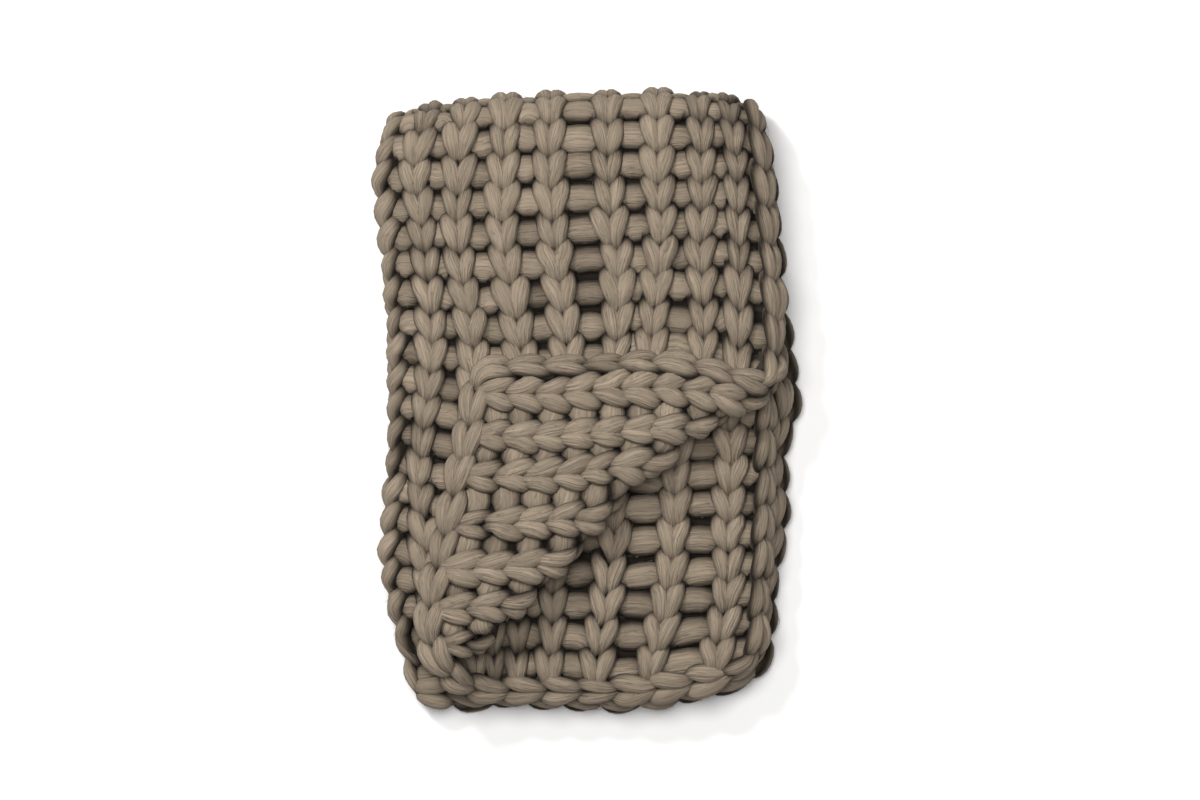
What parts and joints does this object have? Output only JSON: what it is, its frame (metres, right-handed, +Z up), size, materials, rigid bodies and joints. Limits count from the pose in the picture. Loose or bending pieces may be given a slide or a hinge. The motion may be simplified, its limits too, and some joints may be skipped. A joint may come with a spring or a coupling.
{
  "type": "folded chunky knit wool blanket",
  "caption": "Chunky rib-knitted wool blanket folded into a neat stack, with the top layer's lower right corner turned back over a diagonal crease.",
  "frame": {"origin": "centre of the folded stack's footprint, on the surface that it lies on", "axes": "+Z up from the surface, +Y along the knitted ribs towards the fold at the top, +X across the ribs towards the free side edges"},
  "size_m": [0.5206, 0.7772, 0.148],
  "materials": {
    "taupe_wool": "matt brushed wool in a warm taupe"
  },
  "bodies": {
    "root": {"blanket": "taupe_wool"}
  },
  "joints": []
}
